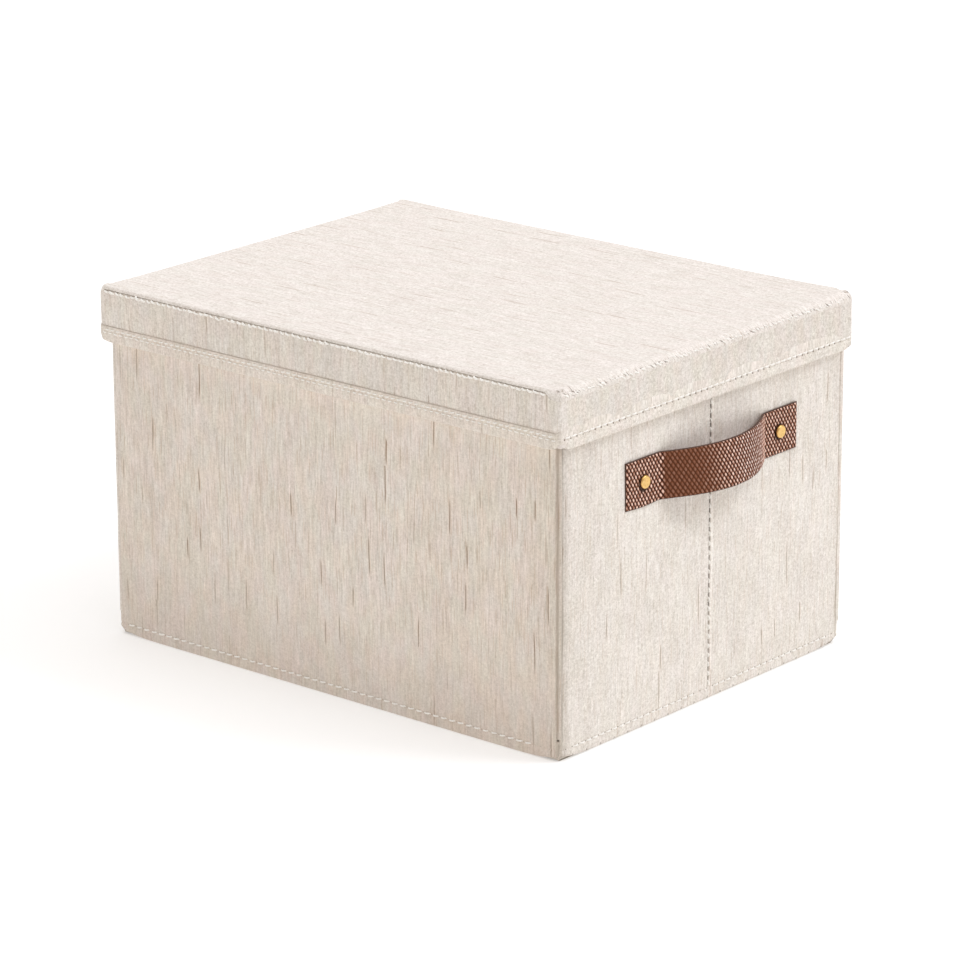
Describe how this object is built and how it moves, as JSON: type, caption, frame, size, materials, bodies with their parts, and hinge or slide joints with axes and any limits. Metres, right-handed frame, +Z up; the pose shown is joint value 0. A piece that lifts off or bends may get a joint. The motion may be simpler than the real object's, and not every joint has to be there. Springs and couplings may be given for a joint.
{
  "type": "storage box with lid",
  "caption": "Linen-covered storage box with a flat lift-off lid and riveted leather strap handles; the end walls and the base fold inwards so that the body collapses.",
  "frame": {"origin": "on the floor at the centre of the box's footprint", "axes": "+X along the box's length towards one handle, +Y from the front long wall to the rear one, +Z up through the lid"},
  "size_m": [0.4272, 0.301, 0.2411],
  "materials": {
    "wall_linen": "slubbed cream linen, vertical slubs",
    "lid_linen": "slubbed cream linen with stitched hem",
    "base_linen": "plain cream linen",
    "lining_cloth": "smooth thin cream lining",
    "rim_binding": "folded cream linen binding",
    "stiffening_board": "grey board",
    "strap_leather": "brown embossed imitation leather",
    "rivet_brass": "satin brass",
    "washer_steel": "plated steel washer",
    "webbing": "narrow woven tape"
  },
  "bodies": {
    "front_wall": {"front_wall_fabric": "wall_linen", "front_wall_board": "stiffening_board", "front_wall_lining": "lining_cloth", "front_wall_rim_binding": "rim_binding", "right_base_gusset": "base_linen", "left_base_gusset": "base_linen"},
    "rear_wall": {"rear_wall_fabric": "wall_linen", "rear_wall_board": "stiffening_board", "rear_wall_lining": "lining_cloth", "rear_wall_rim_binding": "rim_binding"},
    "right_front_leaf": {"right_front_leaf_fabric": "wall_linen", "right_front_leaf_board": "stiffening_board", "right_front_leaf_lining": "lining_cloth", "right_front_leaf_rim_binding": "rim_binding", "right_front_rivet": "rivet_brass", "right_front_rivet_washer": "washer_steel", "right_handle_strap": "strap_leather"},
    "right_rear_leaf": {"right_rear_leaf_fabric": "wall_linen", "right_rear_leaf_board": "stiffening_board", "right_rear_leaf_lining": "lining_cloth", "right_rear_leaf_rim_binding": "rim_binding", "right_rear_rivet": "rivet_brass", "right_rear_rivet_washer": "washer_steel"},
    "left_front_leaf": {"left_front_leaf_fabric": "wall_linen", "left_front_leaf_board": "stiffening_board", "left_front_leaf_lining": "lining_cloth", "left_front_leaf_rim_binding": "rim_binding", "left_front_rivet": "rivet_brass", "left_front_rivet_washer": "washer_steel", "left_handle_strap": "strap_leather"},
    "left_rear_leaf": {"left_rear_leaf_fabric": "wall_linen", "left_rear_leaf_board": "stiffening_board", "left_rear_leaf_lining": "lining_cloth", "left_rear_leaf_rim_binding": "rim_binding", "left_rear_rivet": "rivet_brass", "left_rear_rivet_washer": "washer_steel"},
    "base_front_leaf": {"base_front_fabric": "base_linen", "base_front_board": "stiffening_board", "base_front_lining": "lining_cloth", "base_pull_loop": "webbing"},
    "base_rear_leaf": {"base_rear_fabric": "base_linen", "base_rear_board": "stiffening_board", "base_rear_lining": "lining_cloth"},
    "lid": {"lid_top_fabric": "lid_linen", "lid_top_board": "stiffening_board", "lid_top_lining": "lining_cloth", "lid_skirt_fabric": "lid_linen", "lid_front_skirt_board": "stiffening_board", "lid_rear_skirt_board": "stiffening_board", "lid_right_skirt_board": "stiffening_board", "lid_left_skirt_board": "stiffening_board", "lid_skirt_lining": "lining_cloth", "lid_hem_band": "lid_linen"}
  },
  "joints": [
    {"name": "fold", "type": "hinge", "parent": "front_wall", "child": "right_front_leaf", "pos_m": [0.18785, -0.1433, 0.12], "axis": [0, 0, 1], "range_deg": [0, 84], "deforming": ["right_handle_strap", "left_handle_strap", "right_base_gusset", "left_base_gusset"]},
    {"name": "right_seam", "type": "hinge", "parent": "right_front_leaf", "child": "right_rear_leaf", "pos_m": [0.19165, 0, 0.12], "axis": [0, 0, 1], "range_deg": [-168, 0]},
    {"name": "right_rear_corner", "type": "hinge", "parent": "right_rear_leaf", "child": "rear_wall", "pos_m": [0.18785, 0.1433, 0.12], "axis": [0, 0, 1], "range_deg": [0, 84]},
    {"name": "left_front_corner", "type": "hinge", "parent": "front_wall", "child": "left_front_leaf", "pos_m": [-0.18785, -0.1433, 0.12], "axis": [0, 0, 1], "range_deg": [-84, 0]},
    {"name": "left_seam", "type": "hinge", "parent": "left_front_leaf", "child": "left_rear_leaf", "pos_m": [-0.19165, 0, 0.12], "axis": [0, 0, 1], "range_deg": [0, 168]},
    {"name": "base_front_hinge", "type": "hinge", "parent": "front_wall", "child": "base_front_leaf", "pos_m": [0, -0.1433, 0.0011], "axis": [1, 0, 0], "range_deg": [0, 84]},
    {"name": "base_fold", "type": "hinge", "parent": "base_front_leaf", "child": "base_rear_leaf", "pos_m": [0, 0, -0.0027], "axis": [1, 0, 0], "range_deg": [-168, 0]},
    {"name": "lid_lift", "type": "slide", "parent": "front_wall", "child": "lid", "axis": [0, 0, 1], "range_m": [0, 0.2]}
  ],
  "couplings": [
    {"joint": "right_seam", "follows": "fold", "ratio": -2},
    {"joint": "right_rear_corner", "follows": "fold", "ratio": 1},
    {"joint": "left_front_corner", "follows": "fold", "ratio": -1},
    {"joint": "left_seam", "follows": "fold", "ratio": 2},
    {"joint": "base_front_hinge", "follows": "fold", "ratio": 1},
    {"joint": "base_fold", "follows": "fold", "ratio": -2}
  ]
}
